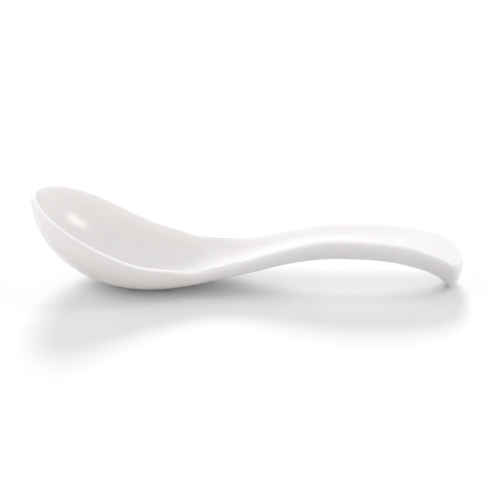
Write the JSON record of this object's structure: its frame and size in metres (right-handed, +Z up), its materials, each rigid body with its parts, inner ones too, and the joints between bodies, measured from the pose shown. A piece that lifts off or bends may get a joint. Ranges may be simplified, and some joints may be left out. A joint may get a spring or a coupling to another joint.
{
  "type": "soup spoon",
  "caption": "White moulded melamine soup spoon with a deep raked bowl, a channelled neck and a solid arched handle whose downturned hook rests on the table.",
  "frame": {"origin": "on the table, under the middle of the spoon's length and width", "axes": "+X from the bowl's tip to the handle's end, +Z up from the table, +Y across, with the spoon symmetrical about Y = 0"},
  "size_m": [0.15, 0.045, 0.032],
  "materials": {
    "melamine": "smooth moulded gloss, slightly warm white"
  },
  "bodies": {
    "root": {"spoon": "melamine"}
  },
  "joints": []
}
